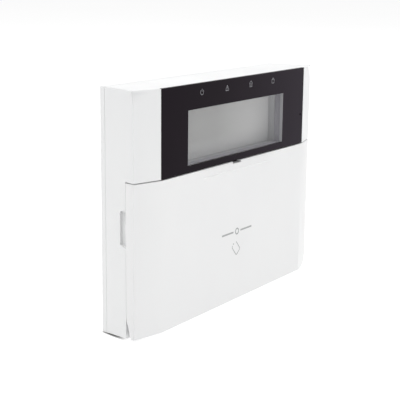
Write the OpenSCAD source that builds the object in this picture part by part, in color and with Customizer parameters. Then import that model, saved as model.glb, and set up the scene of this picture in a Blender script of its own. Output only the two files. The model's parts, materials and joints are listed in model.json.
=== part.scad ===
// Wall alarm keypad: a slim case with a display panel above a flip-down door that
// covers sixteen keys. The origin is the centre of the back face, +Z is up, and the
// front faces -Y.

/* [Case] */
// Width across the side corners
body_w = 155; // [153:0.5:159]
// Height of the back face
body_h = 114; // [114:0.5:118]
// Depth from the wall to the front face
body_d = 27.5; // [27.5:0.25:28.5]
// Width of each slanted front facet
facet_w = 14.8; // [13:0.2:15]
// How far each facet falls back from the front face to the side corner
facet_d = 4.3; // [4:0.1:4.6]
// How far each side leans in between its corner and the wall
side_taper = 6; // [4:0.5:7]
// How far the underside rises from the wall to the front
bottom_rise = 2.5; // [2:0.1:3]
// Thickness of the case walls
wall = 2; // [1.8:0.1:2.2]
// Depth of the mounting plate at its rim
plate_d = 3.3; // [3:0.1:3.4]
// Gap at the seams between mouldings
seam = 0.15; // [0.1:0.05:0.3]
// Radius of the rounded lower right corner
corner_r = 7; // [5:0.5:8]

/* [Display] */
// Width of the clear window
window_w = 84.2; // [70:0.2:86]
// Height of the clear window
window_h = 25.3; // [20:0.1:25.5]
// Height of the window's centre above the door's top edge
window_up = 16.3; // [16.2:0.1:17]
// Sideways place of the window and the status lights
display_x = -0.6; // [-1:0.1:1]
// Thickness of the black panel and of the window
panel_t = 1.6; // [1.2:0.1:1.8]
// Distance between two status lights
status_pitch = 21; // [15:0.5:24]
// Distance from the top edge down to the status lights
status_drop = 4.2; // [3.6:0.1:4.6]

/* [Door] */
// Height of the door
door_h = 70.9; // [70:0.1:71]
// Thickness of the door's walls
door_t = 1.6; // [1.4:0.1:1.6]
// Gap above the door
door_gap = 0.45; // [0.35:0.05:0.5]
// How far the door wraps round each side corner
door_wrap = 5.3; // [5:0.1:5.4]
// Height of the wedge-shaped gap that lets the door turn
wedge_h = 7.9; // [7:0.1:8.5]
// Width of that gap at the underside
wedge_w = 2.8; // [2.8:0.1:3.2]
// Width of the shallow finger pull in the door's top edge
pull_w = 64; // [40:1:70]

/* [Keys] */
// Width of a key
key_w = 20; // [14:0.5:22]
// Height of a key
key_h = 9.4; // [7:0.2:9.8]
// Sideways distance between two keys
key_pitch_x = 27; // [25:0.5:28]
// Upward distance between two keys
key_pitch_z = 13.4; // [12.8:0.1:13.4]
// How far a key moves when pressed
key_travel = 1; // [0.6:0.1:1]

/* [Hidden] */
$fn = 48;
HUGE = 400;
EPS = 0.01;
JOIN = 0.5; // how far one form runs into another that it grows out of

// Case planes and corners
half_w = body_w / 2;
front_y = -body_d;
corner_y = front_y + facet_d;
facet_x = half_w - facet_w;
top_z = body_h / 2;
back_bottom_z = -top_z;
bottom_z = back_bottom_z + bottom_rise;
side_lean = atan(side_taper / (body_d - facet_d));
bottom_lean = atan(bottom_rise / body_d);
seam_y = -plate_d - seam;
nick_w = 7.5;
nick_h = 6.5;
nick_d = 1.2;
nick_cap = 0.5;

// Door and the step that it closes over
door_top_z = bottom_z + door_h;
ledge_z = door_top_z + door_gap;
ledge_t = 1.4;
wrap_y = corner_y + door_wrap;
step_y = wrap_y + seam;
lip_t = 1.4;
lip_y = front_y + 3;
pull_h = 4.7;
pull_d = 0.52;
pull_step = 0.46;
pull_splay = 15;
pull_slope = 9;
notch_w = 7;
notch_h = 1.1;
notch_x = -0.5;
tongue_w = 10;
tongue_t = 1.4;
tongue_z = door_top_z - 2.7;
tongue_y = front_y + 5.9;
catch = [12, 3.4];
catch_d = 3.6;
catch_gap = 0.1;
catch_slack = 0.3;

// Hinge
hinge_y = front_y + 4.1;
hinge_z = bottom_z + 4.2;
hinge_x = 56;
pin_r = 1;
pin_clearance = 0.05;
knuckle_r = 2.1;
knuckle_w = 4;
knuckle_root = 1.6;
ear_w = 3;
ear_gap = 0.4;
pin_l = 10.8;
pin_hole_l = 10;

// Finger scoops in the case sides, just behind the door's edge
scoop_z = bottom_z + 49.8;
scoop_back_y = front_y + 13.7;
scoop_h = 15.2;
scoop_flare = 1.5;
scoop_floor_h = 15;
scoop_splay = 0.65;
scoop_x = half_w - 3.9;
scoop_pad = 2;
bulge_h = 8.5;
bulge_d = 0.5;

// Keypad deck
deck_x = 66;
deck_y = front_y + 5.3;
deck_t = 1.8;
deck_z = hinge_z + 5.5;
bezel_t = 1.2;
bezel_y = deck_y - bezel_t;
key_top_y = bezel_y - 1.3;
key_gap = 0.3;
key_r = 1.6;
key_flange = 1;
key_flange_t = 1;
key_flange_y = deck_y + deck_t + 0.3;
key_stem = [8, 5];
key_centre_z = deck_z + 30.2;
KEY_NAMES = [
    "key_1", "key_2", "key_3", "key_away",
    "key_4", "key_5", "key_6", "key_home",
    "key_7", "key_8", "key_9", "key_disarm",
    "key_star", "key_0", "key_hash", "key_alert"];
KEYS = [for (row = [0:3]) for (column = [0:3])
    [(column - 1.5) * key_pitch_x, key_centre_z + (1.5 - row) * key_pitch_z]];

// Display stack
panel_y = front_y + panel_t;
window_z = door_top_z + window_up;
surround_t = 1.2;
surround_back_y = front_y + 5.1;
glass_y = front_y + 8.7;
glass_t = 1.8;
glass_edge = 0.5;
frame_t = 1.1;
frame_back_y = glass_y + 5.4;
backlight_back_y = glass_y + 5.6;
status_z = top_z - status_drop;
STATUS_X = [for (i = [-1.5:1.5]) display_x + i * status_pitch];
pipe_r = 1.2;
sensor_hole = [60, door_top_z + 16];
sensor_r = 0.6;
sensor_bore_r = 0.8;
pipe_gap = 0.1;
pipe_collar_r = 1.8;

// Main board and what stands on it
board_y = front_y + 14.9;
board_t = 1.6;
board_back_y = board_y + board_t;
board_low = [-64.5, bottom_z + 8.5];
board_high = [64.5, top_z - 2.7];
BOARD_SCREWS = [for (x = [-60, 60]) for (z = [bottom_z + 15.5, top_z - 8]) [x, z]];
mat_low = [-56, bottom_z + 13];
mat_high = [56, bottom_z + 66];
mat_y = board_y - 1.4;
post_r = 3;
board_screw_r = 1.1;
board_screw_l = 5.5;
board_head = [2.4, 1.6];
aerial_turns = 3;
aerial_r = 4;
track_w = 0.5;
track_pitch = 0.8;
track_t = 0.4;
CHIPS = [[-34, 12, 12, 12], [-34, -12, 9, 6], [16, 36, 8, 5], [-48, -30, 6, 5]];
sounder = [40, 25];
tamper = [45, -20];
terminal_low = [-12, -36];
terminal_high = [12, -27];
TERMINALS = [-8.4, -2.8, 2.8, 8.4];

// Mounting plate
plate_floor = 2;
cable_hole = [36, 26];
cable_hole_z = 19;
wall_slots = [116, 80];
box_slots = 60;
slot_l = 8;
slot_r = 2.2;
hook_x = 45;
case_screw_y = -8;
case_screw_r = 1.2;
case_screw_l = 6.4;
case_head = [3, 1.1];
case_head_z = back_bottom_z + 0.85;
cross_cut = [3, 1, 0.6];
cable_hole_r = 3;
hook_w = 6;
hook_t = 1.6;
hook_gap = 0.8;
hook_tip_y = -9;
hook_catch = [2.2, 1.4];
tab_w = 10;
tab_y = -12.5;
tab_low = back_bottom_z + 4.2;
tab_h = 5.3;
plunger_r = 2.5;
plunger_gap = 0.3;
plunger_out = 1.5;
collar_r = 4.5;
collar_y = -4.6;

// Helpers

function unit(v) = v / norm(v);
function outward(a, b) = let (d = unit(b - a)) [d[1], -d[0]];

// An anticlockwise convex outline with every edge moved inwards by t
function inset(outline, t) = [
    for (i = [0:len(outline) - 1])
        let (n = len(outline),
             here = outline[i],
             n1 = outward(outline[(i + n - 1) % n], here),
             n2 = outward(here, outline[(i + 1) % n]))
            here - t * (n1 + n2) / (1 + n1 * n2)];

// A box between two corners
module box(low, high) {
    translate(low) cube(high - low);
}

// Extrudes an outline drawn in X and Z, between two depths
module along_y(y0, y1) {
    translate([0, y1, 0]) rotate([90, 0, 0]) linear_extrude(y1 - y0) children();
}

// Extrudes an outline drawn in Y and Z, between two sideways places
module along_x(x0, x1) {
    translate([x0, 0, 0]) rotate([90, 0, 90]) linear_extrude(x1 - x0) children();
}

// A round bar along X
module bar_x(x0, x1, y, z, r) {
    translate([x0, y, z]) rotate([0, 90, 0]) cylinder(r = r, h = x1 - x0);
}

// A round bar along Y
module bar_y(y0, y1, x, z, r) {
    along_y(y0, y1) translate([x, z]) circle(r);
}

// A rectangle with round corners
module rounded_rect(size, r) {
    square([size[0] - 2 * r, size[1]], center = true);
    square([size[0], size[1] - 2 * r], center = true);
    for (sx = [-1, 1]) for (sz = [-1, 1])
        translate([sx * (size[0] / 2 - r), sz * (size[1] / 2 - r)]) circle(r);
}

// A slot with round ends, lying along X
module slot(l, r) {
    square([l - 2 * r, 2 * r], center = true);
    for (s = [-1, 1]) translate([s * (l / 2 - r), 0]) circle(r);
}

// A rectangular opening or block round the window, grown by g on every side
module window_block(g, y0, y1) {
    along_y(y0, y1) translate([display_x, window_z])
        square([window_w + 2 * g, window_h + 2 * g], center = true);
}

// A rectangular tube round the window
module window_ring(inner, outer, y0, y1) {
    difference() {
        window_block(outer, y0, y1);
        window_block(inner, y0 - 1, y1 + 1);
    }
}

// Case envelope

PLAN = [
    [-facet_x, front_y], [facet_x, front_y], [half_w, corner_y],
    [half_w - side_taper, 0], [-half_w + side_taper, 0], [-half_w, corner_y]];
SIDE_PROFILE = [
    [front_y, bottom_z], [0, back_bottom_z], [0, top_z], [front_y, top_z]];

// What the rounded lower right corner takes off the envelope, t inside its surface
module corner_round(t) {
    at = [half_w - corner_r / cos(side_lean), corner_y,
          bottom_z - facet_d * tan(bottom_lean) + corner_r / cos(bottom_lean)];
    translate(at) rotate([-bottom_lean, 0, side_lean]) difference() {
        translate([0, -body_d, -2 * corner_r]) cube([2 * corner_r, 2.5 * body_d, 2 * corner_r]);
        rotate([90, 0, 0]) cylinder(r = corner_r - t, h = 4 * body_d, center = true);
    }
}

// The flat nick under a top outer corner: a thin slice beyond the plane through one
// point on the corner's edge and two points on the top edges, below a thin cap
module top_nick() {
    along_facet = unit([facet_w, -facet_d]);
    along_side = unit([side_taper, body_d - facet_d]);
    corner = [-half_w, corner_y];
    a = [corner[0], corner[1], top_z - nick_h];
    on_facet = corner + nick_w * along_facet;
    on_side = corner + nick_d * along_side;
    b = [on_facet[0], on_facet[1], top_z];
    c = [on_side[0], on_side[1], top_z];
    n = unit(cross(b - a, c - a));
    intersection() {
        translate(a) rotate([0, acos(n[2]), atan2(n[1], n[0])])
            translate([-20, -20, 0]) cube([40, 40, 10]);
        box([-HUGE / 2, -HUGE / 2, 0], [0, HUGE / 2, top_z - nick_cap]);
    }
}

// The case's outer form, with every face moved inwards by t
module envelope(t) {
    difference() {
        intersection() {
            translate([0, 0, -HUGE / 2]) linear_extrude(HUGE) polygon(inset(PLAN, t));
            along_x(-HUGE / 2, HUGE / 2) polygon(inset(SIDE_PROFILE, t));
        }
        corner_round(t);
    }
}

// Everything between two depths
module depth_slab(y0, y1) {
    box([-HUGE / 2, y0, -HUGE / 2], [HUGE / 2, y1, HUGE / 2]);
}

// Case mouldings

module screw_slots() {
    for (x = [-1, 1]) for (z = [-1, 1])
        translate([x * wall_slots[0] / 2, z * wall_slots[1] / 2]) slot(slot_l, slot_r);
    for (x = [-1, 1]) translate([x * box_slots / 2, 0]) slot(slot_l, slot_r);
}

module snap_hooks() {
    arm_top = top_z - wall - hook_gap;
    ramp_y = hook_tip_y + 0.2;
    step = ramp_y + hook_catch[0];
    for (x = [-hook_x, hook_x]) {
        box([x - hook_w / 2, hook_tip_y, arm_top - hook_t],
            [x + hook_w / 2, -plate_floor + JOIN, arm_top]);
        along_x(x - hook_w / 2, x + hook_w / 2)
            polygon([[ramp_y, arm_top], [step, arm_top], [step, arm_top + hook_catch[1]]]);
    }
}

module wall_plate() {
    color("whitesmoke") difference() {
        union() {
            difference() {
                intersection() {
                    envelope(0);
                    depth_slab(-plate_d, 1);
                }
                envelope(plate_floor);
            }
            snap_hooks();
            box([-tab_w / 2, tab_y, tab_low],
                [tab_w / 2, -plate_floor + JOIN, tab_low + tab_h]);
            bar_y(collar_y, -plate_floor + JOIN, tamper[0], tamper[1], collar_r);
        }
        along_y(-HUGE, 1) translate([0, cable_hole_z]) rounded_rect(cable_hole, cable_hole_r);
        along_y(-plate_floor - 1, 1) screw_slots();
        bar_y(-HUGE, 1, tamper[0], tamper[1], plunger_r + plunger_gap);
        translate([0, case_screw_y, back_bottom_z]) cylinder(r = case_screw_r + 0.1, h = 9);
    }
}

// The shell with its hollow and its step for the door
module housing_shell() {
    difference() {
        union() {
            difference() {
                envelope(0);
                depth_slab(seam_y, 1);
                box([-HUGE / 2, -HUGE / 2, -HUGE / 2], [HUGE / 2, step_y, ledge_z]);
            }
            box([-deck_x, deck_y, deck_z], [deck_x, step_y + wall, ledge_z + EPS]);
        }
        intersection() {
            envelope(wall);
            depth_slab(step_y + wall, 1);
        }
        intersection() {
            envelope(wall);
            box([-HUGE / 2, panel_y + wall, ledge_z + ledge_t], [HUGE / 2, 0, HUGE / 2]);
        }
        box([-deck_x + deck_t, deck_y + deck_t, deck_z + deck_t],
            [deck_x - deck_t, step_y + wall + EPS, ledge_z]);
        box([-facet_x, front_y - 1, -HUGE / 2], [facet_x, panel_y, HUGE / 2]);
    }
}

// One hinge knuckle, hanging from the deck's lower edge
module hinge_knuckle(x) {
    bar_x(x - knuckle_w / 2, x + knuckle_w / 2, hinge_y, hinge_z, knuckle_r);
    box([x - knuckle_w / 2, hinge_y - knuckle_r, hinge_z],
        [x + knuckle_w / 2, hinge_y + knuckle_r, deck_z]);
    box([x - knuckle_w / 2, deck_y, deck_z - knuckle_root],
        [x + knuckle_w / 2, step_y + JOIN, deck_z + JOIN]);
}

// The space of one finger scoop on the right-hand side: its two ends open out
// towards the door, and from its floor towards the case's side
module scoop_space() {
    low = scoop_z - scoop_h / 2;
    high = scoop_z + scoop_h / 2;
    front = step_y - 1;
    out = 10;
    floor_reach = scoop_floor_h / 2;
    side_reach = floor_reach + out * scoop_splay;
    intersection() {
        along_x(scoop_x, HUGE / 2)
            polygon([[scoop_back_y, low], [scoop_back_y, high],
                     [front, high + scoop_flare], [front, low - scoop_flare]]);
        along_y(front - 1, scoop_back_y + 1) translate([scoop_x, scoop_z])
            polygon([[0, -floor_reach], [out, -side_reach], [out, side_reach],
                     [0, floor_reach]]);
    }
}

module board_posts() {
    for (p = BOARD_SCREWS)
        bar_y(p[1] > 0 ? panel_y + 1 : deck_y + 1, board_y, p[0], p[1], post_r);
}

module front_housing() {
    pad_reach = scoop_h / 2 + scoop_flare + 1.5;
    color("white") difference() {
        union() {
            housing_shell();
            board_posts();
            for (x = [-hinge_x, hinge_x]) hinge_knuckle(x);
            for (m = [0, 1]) mirror([m, 0, 0])
                box([scoop_x - scoop_pad, step_y + 0.5, scoop_z - pad_reach],
                    [scoop_x + 1, scoop_back_y + 2, scoop_z + pad_reach]);
            box([-tab_w / 2 - 1, tab_y - JOIN, case_head_z + case_head[1] - 0.05],
                [tab_w / 2 + 1, seam_y - 0.1, tab_low - 0.2]);
        }
        window_block(surround_t, front_y, panel_y + wall + 1);
        for (x = STATUS_X) bar_y(front_y, panel_y + wall + 1, x, status_z, pipe_r + pipe_gap);
        bar_y(front_y, panel_y + wall + 1, sensor_hole[0], sensor_hole[1], sensor_bore_r);
        for (k = KEYS) along_y(deck_y - 1, deck_y + deck_t + EPS) translate(k)
            rounded_rect([key_w + 2 * key_gap, key_h + 2 * key_gap], key_r);
        along_y(deck_y - 1, deck_y + deck_t + EPS) translate([0, tongue_z])
            square(catch + 2 * [catch_gap, catch_gap], center = true);
        for (p = BOARD_SCREWS) bar_y(board_y - board_screw_l - 1, board_y + 1, p[0], p[1],
                                  board_screw_r + 0.15);
        for (m = [0, 1]) mirror([m, 0, 0]) {
            scoop_space();
            top_nick();
            box([hook_x - hook_w / 2 - 1, hook_tip_y - 0.3, top_z - wall - 0.2],
                [hook_x + hook_w / 2 + 1, hook_tip_y + 3, top_z - hook_gap]);
            bar_x(hinge_x - pin_hole_l / 2, hinge_x + pin_hole_l / 2, hinge_y, hinge_z,
                pin_r + pin_clearance);
        }
        translate([0, case_screw_y, back_bottom_z - 1]) {
            cylinder(r = case_screw_r + 0.5, h = 9);
            cylinder(r = case_head[0] + 0.2, h = 3);
        }
    }
}

module case_screw() {
    color("silver") difference() {
        translate([0, case_screw_y, 0]) union() {
            translate([0, 0, case_head_z]) cylinder(r = case_head[0], h = case_head[1]);
            translate([0, 0, case_head_z + case_head[1] - 0.05])
                cylinder(r = case_screw_r, h = case_screw_l);
        }
        for (a = [0, 90]) translate([0, case_screw_y, case_head_z + 0.15]) rotate([0, 0, a])
            cube([3.4, 0.7, 1], center = true);
    }
}

module keypad_bezel() {
    color("gainsboro") difference() {
        box([-deck_x, bezel_y, deck_z], [deck_x, deck_y, ledge_z - 0.25]);
        for (k = KEYS) along_y(bezel_y - 1, deck_y + 1) translate(k)
            rounded_rect([key_w + 2 * key_gap, key_h + 2 * key_gap], key_r);
        along_y(bezel_y - 1, deck_y + 1) translate([0, tongue_z])
            square(catch + 2 * [catch_gap, catch_gap], center = true);
    }
}

module door_catch() {
    mouth = [tongue_w, tongue_t] + 2 * [catch_slack, catch_slack];
    color("dimgray") along_y(bezel_y, bezel_y + catch_d) translate([0, tongue_z]) difference() {
        square(catch, center = true);
        square(mouth, center = true);
    }
}

// Display

module display_panel() {
    color("black") difference() {
        box([-facet_x + 0.1, front_y, ledge_z], [facet_x - 0.1, panel_y, top_z]);
        window_block(0, front_y - 1, panel_y + 1);
        bar_y(front_y - 1, panel_y + 1, sensor_hole[0], sensor_hole[1], sensor_r);
    }
}

module display_window() {
    color("lightblue", 0.4) window_block(-0.02, front_y, panel_y);
}

module window_surround() {
    color("slategray") window_ring(0, surround_t, panel_y, surround_back_y);
}

module lcd_frame() {
    color("gray") {
        window_ring(0, glass_edge + frame_t, surround_back_y, glass_y);
        window_ring(glass_edge, glass_edge + frame_t, glass_y, frame_back_y);
    }
}

module lcd_glass() {
    color("darkgray") window_block(glass_edge - 0.05, glass_y + 0.02, glass_y + glass_t);
}

module lcd_backlight() {
    color("white") window_block(glass_edge - 0.05, glass_y + glass_t, backlight_back_y);
}

module lcd_ribbon() {
    color("orange") box([display_x - 11, board_y - 0.55, window_z + 6],
                        [display_x + 11, board_y - 0.35, top_z - 8.8]);
}

module ribbon_socket() {
    color("black") box([display_x - 13, board_y - 1.4, top_z - 8.8],
                       [display_x + 13, board_y, top_z - 6.6]);
}

module status_leds() {
    color("lightgreen") for (x = STATUS_X)
        box([x - 1.5, board_y - 1.2, status_z - 0.8], [x + 1.5, board_y, status_z + 0.8]);
}

module light_pipes() {
    color("ghostwhite") for (x = STATUS_X) {
        bar_y(panel_y, board_y - 1.4, x, status_z, pipe_r);
        bar_y(panel_y + wall, panel_y + wall + 1, x, status_z, pipe_collar_r);
    }
}

// Electronics

module main_board() {
    color("seagreen") difference() {
        box([board_low[0], board_y, board_low[1]], [board_high[0], board_back_y, board_high[1]]);
        for (p = BOARD_SCREWS) bar_y(board_y - 1, board_back_y + 1, p[0], p[1],
                                        board_screw_r + 0.3);
    }
}

module board_screws() {
    color("silver") for (p = BOARD_SCREWS) difference() {
        union() {
            bar_y(board_back_y, board_back_y + board_head[1], p[0], p[1], board_head[0]);
            bar_y(board_y - board_screw_l, board_back_y + EPS, p[0], p[1], board_screw_r);
        }
        for (a = [0, 90]) translate([p[0], board_back_y + board_head[1] - 0.2, p[1]])
            rotate([0, a, 0]) cube(cross_cut, center = true);
    }
}

module board_chips() {
    color("darkslategray") for (c = CHIPS)
        box([c[0] - c[2] / 2, board_back_y, c[1] - c[3] / 2],
            [c[0] + c[2] / 2, board_back_y + 1.5, c[1] + c[3] / 2]);
}

module key_mat() {
    color("lightgray") difference() {
        box([mat_low[0], mat_y, mat_low[1]], [mat_high[0], board_y, mat_high[1]]);
        for (k = KEYS) along_y(mat_y - 1, board_y + 1) translate(k)
            square([key_stem[0] + 1, key_stem[1] + 1], center = true);
    }
}

// Flat turns of the card reader's aerial, lying on the key mat
module reader_aerial() {
    size = [mat_high[0] - mat_low[0] - 1, mat_high[1] - mat_low[1] - 1];
    color("peru") for (turn = [0:aerial_turns - 1]) {
        outer = size - 2 * [track_pitch, track_pitch] * turn;
        along_y(mat_y - track_t, mat_y) translate([0, (mat_low[1] + mat_high[1]) / 2])
            difference() {
                rounded_rect(outer, aerial_r);
                rounded_rect(outer - 2 * [track_w, track_w], aerial_r - track_w);
            }
    }
}

module sounder_can() {
    color("black") difference() {
        bar_y(board_back_y, board_back_y + 5.5, sounder[0], sounder[1], 6);
        bar_y(board_back_y + 4.5, board_back_y + 6, sounder[0], sounder[1], 1);
    }
}

module terminal_block() {
    back = board_back_y + 6.4;
    color("green") difference() {
        box([terminal_low[0], board_back_y, terminal_low[1]],
            [terminal_high[0], back, terminal_high[1]]);
        for (x = TERMINALS) {
            bar_y(back - 4.6, back + 1, x, terminal_low[1] + 3, 1.8);
            box([x - 1.6, board_back_y + 1.2, terminal_high[1] - 4],
                [x + 1.6, board_back_y + 4.4, terminal_high[1] + 1]);
        }
    }
}

module terminal_screws() {
    top = board_back_y + 5.4;
    color("silver") for (x = TERMINALS) difference() {
        bar_y(top - 3.5, top, x, terminal_low[1] + 3, 1.7);
        box([x - 2, top - 0.6, terminal_low[1] + 2.7], [x + 2, top + 1, terminal_low[1] + 3.3]);
    }
}

// Tamper switch

module tamper_switch() {
    color("black") {
        box([tamper[0] - 3, board_back_y, tamper[1] - 3],
            [tamper[0] + 3, board_back_y + 3, tamper[1] + 3]);
        bar_y(board_back_y + 3, board_back_y + 3.8, tamper[0], tamper[1], 1.5);
    }
}

// A coil spring along Y, as one tube swept along a helix
module coil_spring(y0, y1, r, wire_r, turns) {
    sides = 6;
    steps = 12 * turns;
    function place(i) = let (a = 30 * i) [r * cos(a), y0 + (y1 - y0) * i / steps, r * sin(a)];
    points = [for (i = [0:steps]) let (c = place(i), out = [cos(30 * i), 0, sin(30 * i)])
        for (j = [0:sides - 1])
            c + wire_r * (cos(60 * j) * out + sin(60 * j) * [0, 1, 0])];
    walls = [for (i = [0:steps - 1]) for (j = [0:sides - 1])
        let (k = (j + 1) % sides)
            [i * sides + j, i * sides + k, (i + 1) * sides + k, (i + 1) * sides + j]];
    ends = [[for (j = [sides - 1:-1:0]) j], [for (j = [0:sides - 1]) steps * sides + j]];
    polyhedron(points, concat(walls, ends));
}

module tamper_spring() {
    color("silver") translate([tamper[0], 0, tamper[1]])
        coil_spring(board_back_y + 3.25, board_back_y + 5.25, 2.5, 0.2, 3);
}

module tamper_plunger() {
    color("white") {
        bar_y(board_back_y + 5.5, board_back_y + 6.3, tamper[0], tamper[1], 4);
        bar_y(board_back_y + 6.3, plunger_out, tamper[0], tamper[1], plunger_r);
    }
}

// Keys

module key(k) {
    color("silver") {
        along_y(key_top_y, key_flange_y) translate(k) rounded_rect([key_w, key_h], key_r);
        along_y(key_flange_y, key_flange_y + key_flange_t) translate(k)
            rounded_rect([key_w + 2 * key_flange, key_h + 2 * key_flange], key_r);
        along_y(key_flange_y + key_flange_t, board_y - key_travel - 0.2) translate(k)
            square(key_stem, center = true);
    }
}

// Door

// The door's side view: the wedge at the bottom, and the bulge at the scoops
module door_profile() {
    below = 5;
    polygon(concat(
        [[front_y - 1, bottom_z - below],
         [wrap_y - wedge_w * (1 + below / wedge_h), bottom_z - below],
         [wrap_y, bottom_z + wedge_h]],
        [for (u = [-1:0.2:1]) [wrap_y + bulge_d * (1 - u * u), scoop_z + bulge_h * u]],
        [[wrap_y, door_top_z], [front_y - 1, door_top_z]]));
}

module door_shell() {
    difference() {
        intersection() {
            envelope(0);
            along_x(-HUGE / 2, HUGE / 2) door_profile();
        }
        intersection() {
            envelope(door_t);
            union() {
                box([-HUGE / 2, front_y, -HUGE / 2], [HUGE / 2, 0, door_top_z - lip_t]);
                depth_slab(lip_y, 0);
            }
        }
    }
}

module door_ears() {
    inner = knuckle_w / 2 + ear_gap;
    for (m = [0, 1]) mirror([m, 0, 0]) for (x = [hinge_x - inner - ear_w, hinge_x + inner]) {
        bar_x(x, x + ear_w, hinge_y, hinge_z, knuckle_r);
        box([x, front_y + door_t - 0.2, bottom_z + door_t - 0.2],
            [x + ear_w, hinge_y + knuckle_r, hinge_z]);
        box([x, front_y + door_t - 0.2, hinge_z - EPS], [x + ear_w, hinge_y, hinge_z + knuckle_r]);
    }
}

// Everything inside and in front of the gentle slope at the pull's left-hand end
module pull_end() {
    translate([-pull_w / 2, front_y, door_top_z])
        rotate([0, -pull_splay, 0]) rotate([0, 0, pull_slope - 90])
            translate([0, -HUGE / 4, -HUGE / 4]) cube([HUGE / 4, HUGE / 2, HUGE / 2]);
}

// The shallow recess in the door's top edge for a fingertip: its floor leans back
// from a short slope at its foot, between two gentle slopes
module pull_space() {
    foot_z = door_top_z - pull_h;
    intersection() {
        along_x(-HUGE / 2, HUGE / 2) polygon([
            [front_y - 1, foot_z - 1], [front_y + pull_step, foot_z + pull_step],
            [front_y + pull_d, door_top_z + 1], [front_y - 1, door_top_z + 1]]);
        pull_end();
        mirror([1, 0, 0]) pull_end();
    }
}

module door_cover() {
    inner = front_y + door_t - 0.2;
    color("white") difference() {
        union() {
            door_shell();
            door_ears();
            box([-pull_w / 2 - 2, inner, door_top_z - pull_h - 2],
                [pull_w / 2 + 2, front_y + door_t + 0.6, door_top_z - lip_t + EPS]);
            box([-tongue_w / 2, inner, tongue_z - tongue_t / 2],
                [tongue_w / 2, tongue_y, tongue_z + tongue_t / 2]);
        }
        pull_space();
        box([notch_x - notch_w / 2, front_y - 1, door_top_z - notch_h],
            [notch_x + notch_w / 2, lip_y + 1, door_top_z + 1]);
        for (m = [0, 1]) mirror([m, 0, 0])
            bar_x(hinge_x - pin_l / 2, hinge_x + pin_l / 2, hinge_y, hinge_z, pin_r);
    }
}

module hinge_pins() {
    color("silver") for (x = [-hinge_x, hinge_x])
        bar_x(x - pin_l / 2, x + pin_l / 2, hinge_y, hinge_z, pin_r);
}

wall_plate();
front_housing();
keypad_bezel();
display_panel();
display_window();
window_surround();
lcd_frame();
lcd_glass();
lcd_backlight();
lcd_ribbon();
ribbon_socket();
main_board();
board_screws();
board_chips();
status_leds();
light_pipes();
key_mat();
reader_aerial();
sounder_can();
terminal_block();
terminal_screws();
tamper_switch();
tamper_spring();
tamper_plunger();
case_screw();
door_catch();
door_cover();
hinge_pins();
for (i = [0:len(KEYS) - 1]) key(KEYS[i]);
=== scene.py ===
"""Looks for the alarm keypad panel: materials, softened mouldings, printed marks, light and camera."""

import json
import math

import bmesh
import bpy
from mathutils import Matrix, Vector


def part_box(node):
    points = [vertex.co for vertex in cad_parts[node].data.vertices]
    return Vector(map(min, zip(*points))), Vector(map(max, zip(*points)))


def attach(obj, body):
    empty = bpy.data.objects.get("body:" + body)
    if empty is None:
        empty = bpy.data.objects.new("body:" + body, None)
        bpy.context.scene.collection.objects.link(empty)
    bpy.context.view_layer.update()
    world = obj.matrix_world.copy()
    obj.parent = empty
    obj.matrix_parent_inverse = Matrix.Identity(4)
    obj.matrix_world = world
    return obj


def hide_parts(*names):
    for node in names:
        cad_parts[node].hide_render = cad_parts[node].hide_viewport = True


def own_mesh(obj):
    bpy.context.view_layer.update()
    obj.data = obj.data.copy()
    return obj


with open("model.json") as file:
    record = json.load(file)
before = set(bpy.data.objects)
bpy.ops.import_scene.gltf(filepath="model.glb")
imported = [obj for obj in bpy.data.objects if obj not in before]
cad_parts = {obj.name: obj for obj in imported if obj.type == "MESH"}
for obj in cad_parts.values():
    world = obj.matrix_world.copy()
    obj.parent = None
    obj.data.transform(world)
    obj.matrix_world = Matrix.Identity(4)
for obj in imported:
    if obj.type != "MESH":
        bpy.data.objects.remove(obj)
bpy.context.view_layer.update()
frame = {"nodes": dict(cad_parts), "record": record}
MM = 0.001

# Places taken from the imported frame
PANEL_LOW, PANEL_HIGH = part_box("display_panel")
WINDOW_LOW, WINDOW_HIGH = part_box("display_window")
PIPES_LOW, PIPES_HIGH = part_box("light_pipes")
FRONT_Y = PANEL_LOW.y
FLOOR_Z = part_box("wall_plate")[0].z
DOOR_TOP_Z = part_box("door_cover")[1].z

# Printing
INK_HEIGHT = 0.03 * MM
STATUS_SCALE, STATUS_LINE = 0.82, 0.26
KEY_LINE = 0.36
NUMERAL_SIZE = 6.2 * MM
MARK_X = -0.3 * MM
MARK_Z = DOOR_TOP_Z - 35.7 * MM
CARD_SHIFT_X, CARD_DROP = 0.7 * MM, 8.4 * MM

# Rounded edges, and the face angles that part smooth shading from sharp edges
FLAT_ANGLE = math.radians(0.6)
ROUNDED_ANGLE = math.radians(50.0)
CREASE_ANGLE = math.radians(40.0)
MOULDING_SMOOTH, PRINT_SMOOTH = 14.0, 30.0
ROOM_FOR_RADIUS = 1.25

# Studio
FLOOR_HALF_SIZE = 12.0
CONTACT_SHADE_REACH = 1.5 * MM
TABLE_GLOW = 0.765
# Dim areas of the tent: aim, then where the fade starts and ends and the levels there
TENT_DIM_AREAS = {
    "left": ((-0.97, -0.1, 0.2), (0.0, 1.0, 0.68, 0.24)),
    "behind the camera": ((-0.82, -0.53, 0.2), (0.78, 0.99, 1.0, 0.25)),
    "behind the object": ((0.0, 1.0, 0.0), (0.2, 1.0, 1.0, 0.55)),
    "right": ((0.98, -0.2, 0.0), (0.72, 1.0, 1.0, 0.4)),
}

KEY_FACES = {
    "key_1": "1", "key_2": "2", "key_3": "3", "key_away": "away",
    "key_4": "4", "key_5": "5", "key_6": "6", "key_home": "home",
    "key_7": "7", "key_8": "8", "key_9": "9", "key_disarm": "lock",
    "key_star": "*", "key_0": "0", "key_hash": "#", "key_alert": "alert",
}


# ---------------------------------------------------------------- materials


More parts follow.
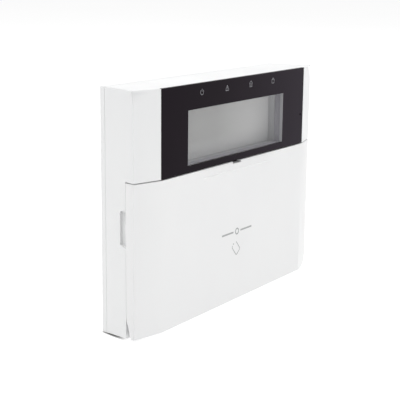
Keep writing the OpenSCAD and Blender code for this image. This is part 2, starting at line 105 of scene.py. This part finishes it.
class Recipe:
    """A Principled material whose colour, roughness and grain come from noise in object space."""

    def __init__(self, name, roughness, ior=1.5, metallic=0.0):
        self.material = bpy.data.materials.new(name)
        self.material.use_nodes = True
        self.nodes = self.material.node_tree.nodes
        self.links = self.material.node_tree.links
        self.shader = self.nodes["Principled BSDF"]
        self.shader.inputs["Roughness"].default_value = roughness
        self.shader.inputs["IOR"].default_value = ior
        self.shader.inputs["Metallic"].default_value = metallic
        self.place = self.nodes.new("ShaderNodeTexCoord").outputs["Object"]

    def noise(self, size, detail=2.0, stretch=None):
        """Noise whose features are about size metres across."""
        source = self.place
        if stretch:
            mapping = self.nodes.new("ShaderNodeMapping")
            mapping.inputs["Scale"].default_value = stretch
            self.links.new(source, mapping.inputs["Vector"])
            source = mapping.outputs["Vector"]
        node = self.nodes.new("ShaderNodeTexNoise")
        node.inputs["Scale"].default_value = 1.0 / size
        node.inputs["Detail"].default_value = detail
        self.links.new(source, node.inputs["Vector"])
        return node.outputs["Fac"]

    def spread(self, value, low, high, out_low, out_high):
        node = self.nodes.new("ShaderNodeMapRange")
        for socket, number in zip(node.inputs[1:5], (low, high, out_low, out_high)):
            socket.default_value = number
        self.links.new(value, node.inputs["Value"])
        return node.outputs["Result"]

    def blend(self, factor, first, second):
        """A colour between two others; each may be a colour or a socket."""
        node = self.nodes.new("ShaderNodeMix")
        node.data_type = "RGBA"
        self.links.new(factor, node.inputs[0])
        for socket, colour in ((node.inputs[6], first), (node.inputs[7], second)):
            if isinstance(colour, bpy.types.NodeSocket):
                self.links.new(colour, socket)
            else:
                socket.default_value = (*colour, 1.0)
        return node.outputs[2]

    def colour(self, socket):
        self.links.new(socket, self.shader.inputs["Base Color"])

    def roughness(self, socket):
        self.links.new(socket, self.shader.inputs["Roughness"])

    def bump(self, height, depth, strength=1.0):
        node = self.nodes.new("ShaderNodeBump")
        node.inputs["Strength"].default_value = strength
        node.inputs["Distance"].default_value = depth
        self.links.new(height, node.inputs["Height"])
        self.links.new(node.outputs["Normal"], self.shader.inputs["Normal"])


def moulded(name, colour, shade, roughness, grain=0.0004, depth=0.000006, ior=1.5):
    """Moulded plastic: faint flow mottling, uneven sheen, spark-eroded grain and a few rubbed patches."""
    r = Recipe(name, roughness, ior)
    flow = r.spread(r.noise(0.045, 3.0, (1.0, 1.0, 0.6)), 0.35, 0.65, 0.0, 1.0)
    speck = r.spread(r.noise(0.0016, 2.0), 0.68, 0.78, 0.0, 0.22)
    base = r.blend(flow, colour, shade)
    r.colour(r.blend(speck, base, tuple(c * 0.93 for c in shade)))
    rubbed = r.noise(0.02, 4.0)
    r.roughness(r.spread(rubbed, 0.3, 0.7, roughness * 0.85, min(roughness * 1.2, 1.0)))
    r.bump(r.noise(grain, 3.0), depth)
    return r.material


def metal(name, colour, roughness, stretch=(1.0, 1.0, 1.0)):
    """Plated metal with fine drawn streaks."""
    r = Recipe(name, roughness, 1.5, 1.0)
    streak = r.noise(0.0006, 3.0, stretch)
    r.colour(r.blend(r.spread(streak, 0.3, 0.7, 0.0, 1.0), colour, tuple(c * 0.8 for c in colour)))
    r.roughness(r.spread(streak, 0.3, 0.7, roughness * 0.8, roughness * 1.3))
    r.bump(streak, 0.000004)
    return r.material


def rubber(name, colour, roughness=0.6):
    """Silicone: matt, a little dusty, with a soft fine grain."""
    r = Recipe(name, roughness, 1.41)
    dust = r.spread(r.noise(0.006, 4.0), 0.45, 0.75, 0.0, 0.5)
    r.colour(r.blend(dust, colour, tuple(min(1.0, c * 1.08 + 0.01) for c in colour)))
    r.roughness(r.spread(dust, 0.0, 0.5, roughness * 0.9, roughness * 1.1))
    r.bump(r.noise(0.0003, 2.0), 0.000005)
    return r.material


def acrylic_black():
    """Gloss black acrylic: near-black with a faint warm cast, and a painted reflection that lightens its
    colour a little to the right.
    """
    r = Recipe("acrylic_black", 0.08, 1.5)
    r.shader.inputs["Specular IOR Level"].default_value = 0.056
    split = r.nodes.new("ShaderNodeSeparateXYZ")
    r.links.new(r.place, split.inputs["Vector"])
    # Painted reflection: from 35% of the way across the panel to its right edge, the colour blends
    # towards a lighter black that stands in for sheen.
    start = PANEL_LOW.lerp(PANEL_HIGH, 0.35)
    painted_light_across = r.spread(split.outputs["X"], start.x, PANEL_HIGH.x, 0.0, 1.0)
    cloud = r.spread(r.noise(0.03, 2.0), 0.35, 0.65, 0.0, 1.0)
    # left is the black without the painted reflection; right is the black with it.
    left = r.blend(cloud, (0.0045, 0.0007, 0.0045), (0.0052, 0.0013, 0.0052))
    right = r.blend(cloud, (0.0154, 0.0091, 0.0172), (0.0162, 0.0099, 0.0182))
    r.colour(r.blend(painted_light_across, left, right))
    scratches = r.noise(0.004, 6.0, (0.05, 1.0, 1.0))
    r.roughness(r.spread(scratches, 0.5, 0.72, 0.05, 0.12))
    r.bump(r.noise(0.012, 2.0), 0.000004)
    return r.material


def clear_sheet():
    """The clear window: almost invisible, a little dusty."""
    r = Recipe("clear_acrylic", 0.05, 1.49)
    dust = r.spread(r.noise(0.0012, 4.0), 0.62, 0.8, 0.0, 1.0)
    r.colour(r.blend(dust, (0.75, 0.76, 0.78), (0.85, 0.85, 0.84)))
    r.links.new(r.spread(dust, 0.0, 1.0, 0.07, 0.14), r.shader.inputs["Alpha"])
    r.roughness(r.spread(dust, 0.0, 1.0, 0.04, 0.2))
    return r.material


def lcd_face():
    """The unlit display: hazy grey glass, with painted light that makes it lighter towards the right and
    painted fill light that evens it at its foot.
    """
    r = Recipe("lcd_face", 0.35, 1.5)
    split = r.nodes.new("ShaderNodeSeparateXYZ")
    r.links.new(r.place, split.inputs["Vector"])
    # Painted light: from 42% of the way across the window, the colour lightens towards the right and
    # lifts the shade there.
    start = WINDOW_LOW.lerp(WINDOW_HIGH, 0.42)
    painted_light_across = r.spread(split.outputs["X"], start.x, WINDOW_HIGH.x, 0.0, 1.0)
    haze = r.spread(r.noise(0.012, 4.0), 0.35, 0.65, 0.0, 1.0)
    left = r.blend(haze, (0.36, 0.36, 0.35), (0.37, 0.37, 0.36))
    right = r.blend(haze, (0.61, 0.61, 0.605), (0.625, 0.625, 0.62))
    face = r.blend(painted_light_across, left, right)
    # Painted fill light: over the lowest 9 mm, the colour blends to an even grey that covers the shade
    # along the bottom.
    painted_fill_at_foot = r.spread(split.outputs["Z"], WINDOW_LOW.z, WINDOW_LOW.z + 9 * MM, 1.0, 0.0)
    r.colour(r.blend(painted_fill_at_foot, face, (0.52, 0.52, 0.52)))
    r.roughness(r.spread(r.noise(0.003, 3.0), 0.3, 0.7, 0.3, 0.42))
    r.bump(r.noise(0.0002, 2.0), 0.000003)
    return r.material


def printed(name, colour):
    """Screen-printed ink: slightly uneven cover."""
    r = Recipe(name, 0.5)
    cover = r.spread(r.noise(0.0005, 3.0), 0.35, 0.7, 0.0, 1.0)
    r.colour(r.blend(cover, colour, tuple(c * 0.88 for c in colour)))
    r.roughness(r.spread(cover, 0.0, 1.0, 0.42, 0.58))
    r.bump(r.noise(0.0002, 2.0), 0.000003)
    return r.material


def board_resist():
    """Solder resist over copper tracks: two greens in fine straight bands."""
    r = Recipe("board_resist", 0.35)
    bands = r.spread(r.noise(0.0022, 0.0, (0.15, 1.0, 1.0)), 0.48, 0.52, 0.0, 1.0)
    r.colour(r.blend(bands, (0.012, 0.16, 0.07), (0.02, 0.24, 0.1)))
    r.roughness(r.spread(bands, 0.0, 1.0, 0.3, 0.42))
    r.bump(bands, 0.00003, 0.4)
    return r.material


def light_table():
    """The lit, plain pale table under the object, with a painted contact shadow from ambient occlusion
    where something nearly touches it.
    """
    r = Recipe("light_table", 0.8)
    r.shader.inputs["Specular IOR Level"].default_value = 0.0
    r.shader.inputs["Emission Color"].default_value = (1.0, 1.0, 1.0, 1.0)
    painted_shadow_ao = r.nodes.new("ShaderNodeAmbientOcclusion")
    painted_shadow_ao.inputs["Distance"].default_value = CONTACT_SHADE_REACH
    clear_of_painted_shadow = r.spread(painted_shadow_ao.outputs["AO"], 0.3, 0.9, 0.0, 1.0)
    # Painted shadow: the glow drops almost to nothing inside the contact reach.
    glow = r.spread(clear_of_painted_shadow, 0.0, 1.0, 0.05, TABLE_GLOW)
    r.links.new(glow, r.shader.inputs["Emission Strength"])
    paper = r.blend(r.noise(0.4, 2.0), (0.38, 0.38, 0.38), (0.4, 0.4, 0.4))
    # Painted shadow: inside the contact reach, the colour goes to a dark brown-grey.
    r.colour(r.blend(clear_of_painted_shadow, (0.1, 0.095, 0.09), paper))
    return r.material


WHITE = moulded("case_white", (0.86, 0.865, 0.865), (0.84, 0.845, 0.85), 0.38)
DOOR_WHITE = moulded("door_white", (0.86, 0.862, 0.862), (0.845, 0.847, 0.85), 0.36)
DECK = moulded("deck_grey", (0.66, 0.67, 0.69), (0.62, 0.63, 0.65), 0.45)
BLACK = moulded("black_plastic", (0.018, 0.018, 0.02), (0.028, 0.028, 0.03), 0.5)
SURROUND = moulded("surround_grey", (0.27, 0.26, 0.295), (0.24, 0.23, 0.265), 0.5)
DIFFUSER = moulded("diffuser_white", (0.85, 0.85, 0.8), (0.8, 0.8, 0.76), 0.6)
AMBER = moulded("ribbon_amber", (0.6, 0.27, 0.04), (0.5, 0.2, 0.03), 0.3)
TERMINAL = moulded("terminal_green", (0.03, 0.3, 0.12), (0.025, 0.24, 0.1), 0.45)
PIPE = moulded("light_pipe", (0.8, 0.82, 0.85), (0.72, 0.74, 0.78), 0.15)
ACRYLIC = acrylic_black()
CLEAR = clear_sheet()
LCD = lcd_face()
STEEL = metal("steel", (0.62, 0.62, 0.64), 0.3)
FRAME_METAL = metal("frame_steel", (0.55, 0.55, 0.565), 0.42, (0.2, 1.0, 1.0))
COPPER = metal("aerial_copper", (0.72, 0.36, 0.2), 0.35)
KEY_RUBBER = rubber("key_rubber", (0.74, 0.75, 0.77))
MAT_RUBBER = rubber("mat_rubber", (0.5, 0.51, 0.53))
RESIST = board_resist()
ICON_INK = printed("icon_ink", (0.30, 0.30, 0.32))
MARK_INK = printed("mark_ink", (0.40, 0.41, 0.41))
KEY_INK = printed("key_ink", (0.06, 0.07, 0.09))
# Painted highlight: the grey of the glint on the window's cut edges.
PAINTED_GLINT_EDGE = moulded("window_edge_painted_glint", (0.42, 0.42, 0.44), (0.36, 0.36, 0.38), 0.3)


# ---------------------------------------------------------------- geometry helpers


def shade_by_angle(bm, degrees):
    """Smooth shading with sharp edges kept above the angle."""
    for face in bm.faces:
        face.smooth = True
    for edge in bm.edges:
        shallow = edge.calc_face_angle(0.0) < math.radians(degrees)
        edge.smooth = len(edge.link_faces) == 2 and shallow


def add_piece(name, mesh, body, material):
    piece = bpy.data.objects.new(name, mesh)
    bpy.context.scene.collection.objects.link(piece)
    mesh.materials.clear()
    mesh.materials.append(material)
    weights = piece.modifiers.new("flat_faces_stay_flat", "WEIGHTED_NORMAL")
    weights.keep_sharp = True
    weights.weight = 100
    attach(piece, body)
    return piece


def body_of_node(node):
    """The CAD body that a node rides on."""
    for body, nodes in frame["record"]["behaviour"]["bodies"].items():
        if node in nodes:
            return body
    raise KeyError(node)


def edges_to_round(bm, radius, least_length, front_only, mating):
    """Convex edges with room for the radius, leaving out those that end in a short side
    and those of faces that look in a mating direction."""
    front = min(v.co.y for v in bm.verts)
    mates = {f for f in bm.faces if any(f.normal.dot(d) > 0.999 for d in mating)}
    chosen = {
        e
        for e in bm.edges
        if len(e.link_faces) == 2
        and e.calc_face_angle_signed(0.0) > ROUNDED_ANGLE
        and e.calc_length() > least_length
        and not mates & set(e.link_faces)
        and not (front_only and max(v.co.y for v in e.verts) > front + 0.01 * MM)
    }
    cramped = True
    while cramped:
        cramped = set()
        for edge in chosen:
            for side in {f for v in edge.verts for f in v.link_edges} - {edge}:
                meets = set(side.link_faces) & set(edge.link_faces)
                if meets and side not in chosen and side.calc_length() < ROOM_FOR_RADIUS * radius:
                    cramped.add(edge)
        chosen -= cramped
    return sorted(chosen, key=lambda e: e.index)


def soften(
    node, radius, material, segments=3, least_length=0.6 * MM, front_only=False, mating=()
):
    """A copy of a CAD moulding with its outer edges rounded, which stands for the CAD node."""
    bm = bmesh.new()
    bm.from_mesh(frame["nodes"][node].data)
    bmesh.ops.remove_doubles(bm, verts=bm.verts, dist=1e-6)
    bmesh.ops.dissolve_limit(
        bm, angle_limit=FLAT_ANGLE, verts=bm.verts, edges=bm.edges, delimit=set()
    )
    bm.edges.index_update()
    chosen = edges_to_round(bm, radius, least_length, front_only, mating)
    shade_by_angle(bm, MOULDING_SMOOTH)
    for edge in chosen:
        edge.smooth = True
    bmesh.ops.bevel(
        bm, geom=chosen, offset=radius, offset_type="OFFSET", segments=segments, profile=0.5,
        affect="EDGES", clamp_overlap=False, material=-1,
    )
    for edge in bm.edges:
        if edge.calc_face_angle(0.0) > CREASE_ANGLE:
            edge.smooth = False
    mesh = bpy.data.meshes.new(f"{node}_soft")
    bm.to_mesh(mesh)
    bm.free()
    piece = add_piece(f"{node}_moulding", mesh, body_of_node(node), material)
    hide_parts(node)


def close_up_spring():
    """The tamper's spring, copied into a steel piece with a mesh of its own, in place of the CAD node."""
    node = "tamper_spring"
    mesh = frame["nodes"][node].data.copy()
    piece = add_piece("tamper_coil", mesh, body_of_node(node), STEEL)
    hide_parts(node)
    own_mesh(piece)


def outline_strip(points, width, closed):
    """Left and right edges of a line of the given width along flat points."""
    count = len(points)
    left, right = [], []
    for i, p in enumerate(points):
        before = points[(i - 1) % count] if closed or i > 0 else None
        after = points[(i + 1) % count] if closed or i < count - 1 else None
        d1 = (p - before).normalized() if before is not None else (after - p).normalized()
        d2 = (after - p).normalized() if after is not None else d1
        n1, n2 = Vector((-d1.y, d1.x)), Vector((-d2.y, d2.x))
        mitre = (n1 + n2) / max(1.0 + n1.dot(n2), 0.35)
        left.append(p + mitre * width / 2)
        right.append(p - mitre * width / 2)
    return left, right


class Print:
    """Flat ink on a face that looks towards -Y, drawn in millimetres round a centre."""

    def __init__(self, x, y, z, scale=1.0):
        self.centre = Vector((x, y, z))
        self.scale = scale * MM
        self.bm = bmesh.new()

    def at(self, p, height):
        """The point p, at this height in front of the printed face."""
        return self.centre + Vector((p.x * self.scale, -height, p.y * self.scale))

    def corner(self, p, side):
        return self.bm.verts.new(self.at(p, side * INK_HEIGHT))

    def slab(self, faces_2d):
        """Closed thin solid over flat polygons that share no edges with each other."""
        for polygon in faces_2d:
            top = [self.corner(p, 1) for p in polygon]
            low = [self.corner(p, -1) for p in polygon]
            self.bm.faces.new(top)
            self.bm.faces.new(low[::-1])
            count = len(polygon)
            for i in range(count):
                j = (i + 1) % count
                self.bm.faces.new([top[j], top[i], low[i], low[j]])

    def line(self, points, width, closed=False):
        points = [Vector(p) for p in points]
        left, right = outline_strip(points, width, closed)
        count = len(points)
        tops = [(self.corner(a, 1), self.corner(b, 1)) for a, b in zip(left, right)]
        lows = [(self.corner(a, -1), self.corner(b, -1)) for a, b in zip(left, right)]
        for i in range(count if closed else count - 1):
            j = (i + 1) % count
            (a, b), (c, d) = tops[i], tops[j]
            (e, f), (g, h) = lows[i], lows[j]
            self.bm.faces.new([b, d, c, a])
            self.bm.faces.new([e, g, h, f])
            self.bm.faces.new([a, c, g, e])
            self.bm.faces.new([d, b, f, h])
        if not closed:
            (a, b), (e, f) = tops[0], lows[0]
            self.bm.faces.new([a, e, f, b])
            (c, d), (g, h) = tops[-1], lows[-1]
            self.bm.faces.new([d, h, g, c])

    def arc(self, cx, cz, r, start, end, width, steps=20):
        closed = abs(end - start) >= 360
        count = steps if closed else steps + 1
        angles = [math.radians(start + (end - start) * i / steps) for i in range(count)]
        path = [(cx + r * math.cos(a), cz + r * math.sin(a)) for a in angles]
        self.line(path, width, closed)

    def dot(self, cx, cz, r, steps=16):
        turn = [2 * math.pi * i / steps for i in range(steps)]
        self.slab([[Vector((cx + r * math.cos(a), cz + r * math.sin(a))) for a in turn]])

    def finish(self, name, body, material):
        bmesh.ops.recalc_face_normals(self.bm, faces=self.bm.faces)
        shade_by_angle(self.bm, PRINT_SMOOTH)
        mesh = bpy.data.meshes.new(name)
        self.bm.to_mesh(mesh)
        self.bm.free()
        add_piece(name, mesh, body, material)


def rounded_path(corners, r, steps=5):
    """A closed path with each corner turned into an arc."""
    path = []
    count = len(corners)
    for i in range(count):
        here = Vector(corners[i])
        before, after = Vector(corners[i - 1]), Vector(corners[(i + 1) % count])
        a, b = (before - here).normalized(), (after - here).normalized()
        half = a.angle(b) / 2
        centre = here + (a + b).normalized() * (r / math.sin(half))
        start = here + a * (r / math.tan(half)) - centre
        end = here + b * (r / math.tan(half)) - centre
        turn = start.angle_signed(end)
        for k in range(steps + 1):
            path.append(centre + Matrix.Rotation(-turn * k / steps, 2) @ start)
    return path


def legend(name, text, size, x, y, z, body):
    """A raised numeral on a key, from Blender's own font."""
    curve = bpy.data.curves.new(name, "FONT")
    curve.body = text
    curve.size = size
    curve.align_x = "CENTER"
    curve.align_y = "CENTER"
    curve.extrude = INK_HEIGHT
    curve.resolution_u = 4
    holder = bpy.data.objects.new(name, curve)
    bpy.context.scene.collection.objects.link(holder)
    upright = Matrix.Rotation(math.radians(90), 4, "X")
    holder.matrix_world = Matrix.Translation((x, y, z)) @ upright
    bpy.context.view_layer.update()
    evaluated = holder.evaluated_get(bpy.context.evaluated_depsgraph_get())
    mesh = bpy.data.meshes.new_from_object(evaluated)
    mesh.transform(holder.matrix_world)
    bpy.data.objects.remove(holder)
    mesh.name = name
    add_piece(name, mesh, body, KEY_INK)


# ---------------------------------------------------------------- printed symbols


def draw_power(ink, w):
    ink.arc(0, -0.1, 1.45, 122, 418, w)
    ink.line([(0, 0.1), (0, 1.85)], w)


def draw_alert(ink, w):
    ink.line(rounded_path([(-1.7, -1.5), (1.7, -1.5), (0, 1.7)], 0.25), w, True)
    ink.line([(0, 0.6), (0, -0.45)], w)
    ink.dot(0, -0.95, w * 0.6, 8)


def draw_house(ink, w):
    ink.line([(-1.75, 0.25), (0, 1.85), (1.75, 0.25)], w)
    ink.line([(-1.15, 0.3), (-1.15, -1.6), (1.15, -1.6), (1.15, 0.3)], w)
    ink.line([(-0.55, 0.15), (0.55, 0.15)], w)
    ink.line([(-0.55, -0.65), (0.55, -0.65)], w)


def draw_lock(ink, w):
    ink.line(rounded_path([(-1.35, -1.6), (1.35, -1.6), (1.35, 0.7), (-1.35, 0.7)], 0.3), w, True)
    ink.arc(0, 0.85, 0.7, 0, 180, w, 10)


def draw_away(ink, w):
    draw_house(ink, w)
    ink.line([(1.9, -0.8), (3.6, -0.8)], w)
    ink.line([(2.9, -0.2), (3.6, -0.8), (2.9, -1.4)], w)


SYMBOLS = {"away": draw_away, "home": draw_house, "lock": draw_lock, "alert": draw_alert}


def print_status_symbols():
    """Four line symbols over the status lights."""
    span = PIPES_HIGH.x - PIPES_LOW.x
    flange = PIPES_HIGH.z - PIPES_LOW.z
    pitch = (span - flange) / 3
    first = PIPES_LOW.x + flange / 2
    z = (PIPES_LOW.z + PIPES_HIGH.z) / 2
    for i, draw in enumerate((draw_power, draw_alert, draw_house, draw_lock)):
        ink = Print(first + i * pitch, FRONT_Y, z, STATUS_SCALE)
        draw(ink, STATUS_LINE)
        ink.finish(f"status_symbol_{i + 1}", "case", ICON_INK)


def paint_window_edge_glint():
    """Painted highlights: thin grey strips on the clear sheet's two upright cut edges, standing in for
    the glint where the black print ends.
    """
    front, back = FRONT_Y + 0.05 * MM, WINDOW_HIGH.y
    inner, outer = 0.12 * MM, 0.01 * MM
    bm = bmesh.new()
    for edge_x, inward in ((WINDOW_LOW.x, 1), (WINDOW_HIGH.x, -1)):
        x0, x1 = edge_x + inward * outer, edge_x + inward * inner
        size = (abs(x1 - x0), back - front, WINDOW_HIGH.z - WINDOW_LOW.z - 2 * outer)
        centre = ((x0 + x1) / 2, (front + back) / 2, (WINDOW_LOW.z + WINDOW_HIGH.z) / 2)
        place = Matrix.Translation(centre) @ Matrix.Diagonal((*size, 1.0))
        bmesh.ops.create_cube(bm, size=1.0, matrix=place)
    shade_by_angle(bm, PRINT_SMOOTH)
    mesh = bpy.data.meshes.new("window_edge_painted_glint")
    bm.to_mesh(mesh)
    bm.free()
    add_piece("window_edge_painted_glint", mesh, "case", PAINTED_GLINT_EDGE)


def print_door_marks():
    """A plain ornament of two bars and a ring, with a reader symbol of a tilted card below it."""
    mark = Print(MARK_X, FRONT_Y, MARK_Z)
    mark.arc(0, 0, 1.4, 0, 360, 0.65, 28)
    for side in (-1, 1):
        inner, outer, half = side * 3.2, side * 13.4, 0.42
        bar = [(inner, -half), (outer, -half), (outer, half), (inner, half)]
        mark.slab([[Vector(p) for p in (bar if side > 0 else bar[::-1])]])
    mark.finish("door_ornament", "door", MARK_INK)

    card = Print(MARK_X - CARD_SHIFT_X, FRONT_Y, MARK_Z - CARD_DROP)
    turn = Matrix.Rotation(math.radians(-50), 2)
    half_w, half_h = 3.2, 2.2
    flat = ((-half_w, -half_h), (half_w, -half_h), (half_w, half_h), (-half_w, half_h))
    path = rounded_path([turn @ Vector(p) for p in flat], 0.9)
    gap = 3
    start = len(path) - gap
    card.line([path[(start - i) % len(path)] for i in range(gap, len(path) - 2)], 0.4)
    card.dot(*(turn @ Vector((-3.3, -0.2))), 0.36)
    card.finish("card_symbol", "door", MARK_INK)


def print_keys():
    """Numerals and symbols on the keys."""
    for node, face in KEY_FACES.items():
        low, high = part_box(node)
        x, z = (low.x + high.x) / 2, (low.z + high.z) / 2
        body = body_of_node(node)
        if face in SYMBOLS:
            ink = Print(x, low.y, z)
            SYMBOLS[face](ink, KEY_LINE)
            ink.finish(f"{node}_symbol", body, KEY_INK)
        else:
            legend(f"{node}_numeral", face, NUMERAL_SIZE, x, low.y, z, body)


# ---------------------------------------------------------------- dressing the CAD nodes


NODE_MATERIALS = {
    "display_window": CLEAR, "lcd_glass": LCD,
    "lcd_backlight": DIFFUSER, "lcd_ribbon": AMBER, "ribbon_socket": BLACK, "main_board": RESIST,
    "board_screws": STEEL, "board_chips": BLACK, "status_leds": DIFFUSER, "light_pipes": PIPE,
    "key_mat": MAT_RUBBER, "reader_aerial": COPPER, "sounder_can": BLACK, "terminal_block": TERMINAL,
    "terminal_screws": STEEL, "tamper_switch": BLACK, "tamper_plunger": WHITE,
    "case_screw": STEEL, "door_catch": BLACK, "hinge_pins": STEEL,
}


def dress_nodes():
    for node, material in NODE_MATERIALS.items():
        data = frame["nodes"][node].data
        data.materials.clear()
        data.materials.append(material)


def soften_mouldings():
    soften("window_surround", 0.18 * MM, SURROUND, 2)
    soften("lcd_frame", 0.18 * MM, FRAME_METAL, 2)
    front, back, down = Vector((0, -1, 0)), Vector((0, 1, 0)), Vector((0, 0, -1))
    soften("front_housing", 0.55 * MM, WHITE, mating=(front, back, down))
    soften("door_cover", 0.45 * MM, DOOR_WHITE, mating=(back,))
    soften("wall_plate", 0.35 * MM, WHITE, 2, mating=(front,))
    soften("keypad_bezel", 0.25 * MM, DECK, 2, 0.1 * MM, True)
    soften("display_panel", 0.15 * MM, ACRYLIC, 2)
    for node in KEY_FACES:
        soften(node, 0.7 * MM, KEY_RUBBER, 4, 0.1 * MM, True)


# ---------------------------------------------------------------- studio


def add_area(name, place, size, power):
    """A square soft light that looks at the object's middle."""
    light = bpy.data.lights.new(name, "AREA")
    light.size = size
    light.energy = power
    holder = bpy.data.objects.new(name, light)
    bpy.context.scene.collection.objects.link(holder)
    holder.location = place
    holder.rotation_mode = "QUATERNION"
    holder.rotation_quaternion = (-Vector(place)).to_track_quat("-Z", "Y")


def add_light_tent():
    """White cloth all round, with soft dimmer areas."""
    world = bpy.data.worlds.new("light_tent")
    world.use_nodes = True
    nodes, links = world.node_tree.nodes, world.node_tree.links
    direction = nodes.new("ShaderNodeTexCoord").outputs["Generated"]
    levels = []
    for aim, numbers in TENT_DIM_AREAS.values():
        toward = nodes.new("ShaderNodeVectorMath")
        toward.operation = "DOT_PRODUCT"
        toward.inputs[1].default_value = aim
        links.new(direction, toward.inputs[0])
        level = nodes.new("ShaderNodeMapRange")
        level.interpolation_type = "SMOOTHSTEP"
        for socket, number in zip(level.inputs[1:5], numbers):
            socket.default_value = number
        links.new(toward.outputs["Value"], level.inputs["Value"])
        levels.append(level.outputs["Result"])
    strength = levels[0]
    for level in levels[1:]:
        product = nodes.new("ShaderNodeMath")
        product.operation = "MULTIPLY"
        links.new(strength, product.inputs[0])
        links.new(level, product.inputs[1])
        strength = product.outputs["Value"]
    background = nodes["Background"]
    background.inputs["Color"].default_value = (1.0, 1.0, 1.0, 1.0)
    links.new(strength, background.inputs["Strength"])
    bpy.context.scene.world = world


def build_studio():
    mesh = bpy.data.meshes.new("studio_floor")
    signs = ((-1, -1), (1, -1), (1, 1), (-1, 1))
    corners = [(x * FLOOR_HALF_SIZE, y * FLOOR_HALF_SIZE, FLOOR_Z) for x, y in signs]
    mesh.from_pydata(corners, [], [(0, 1, 2, 3)])
    mesh.materials.append(light_table())
    floor = bpy.data.objects.new("studio_floor", mesh)
    bpy.context.scene.collection.objects.link(floor)

    add_light_tent()
    add_area("overhead_softbox", (-0.3, 0.1, 1.4), 2.0, 24.5)
    add_area("right_softbox", (1.6, -0.45, 0.7), 0.9, 5.0)
    bpy.context.scene.view_settings.view_transform = "Standard"


def build_camera():
    """The camera's place and turn, as yaw from +Y towards +X, pitch down and roll."""
    place = Vector((-0.4225, -0.2967, 0.1099))
    yaw, pitch, roll = math.radians(55.36), math.radians(12.79), math.radians(0.6)
    level = math.cos(pitch)
    forward = Vector((math.sin(yaw) * level, math.cos(yaw) * level, -math.sin(pitch)))
    right = Vector((math.cos(yaw), -math.sin(yaw), 0.0))
    up = right.cross(forward)
    turned_right = right * math.cos(roll) + up * math.sin(roll)
    turned_up = up * math.cos(roll) - right * math.sin(roll)
    data = bpy.data.cameras.new("studio_camera")
    data.lens = 93.7
    data.sensor_width = 36.0
    data.clip_start = 0.01
    data.clip_end = 50.0
    camera = bpy.data.objects.new("studio_camera", data)
    bpy.context.scene.collection.objects.link(camera)
    columns = Matrix((turned_right, turned_up, -forward)).transposed()
    camera.matrix_world = Matrix.Translation(place) @ columns.to_4x4()
    bpy.context.scene.camera = camera


build_camera()
build_studio()
dress_nodes()
soften_mouldings()
close_up_spring()
print_status_symbols()
paint_window_edge_glint()
print_door_marks()
print_keys()

bpy.context.view_layer.update()
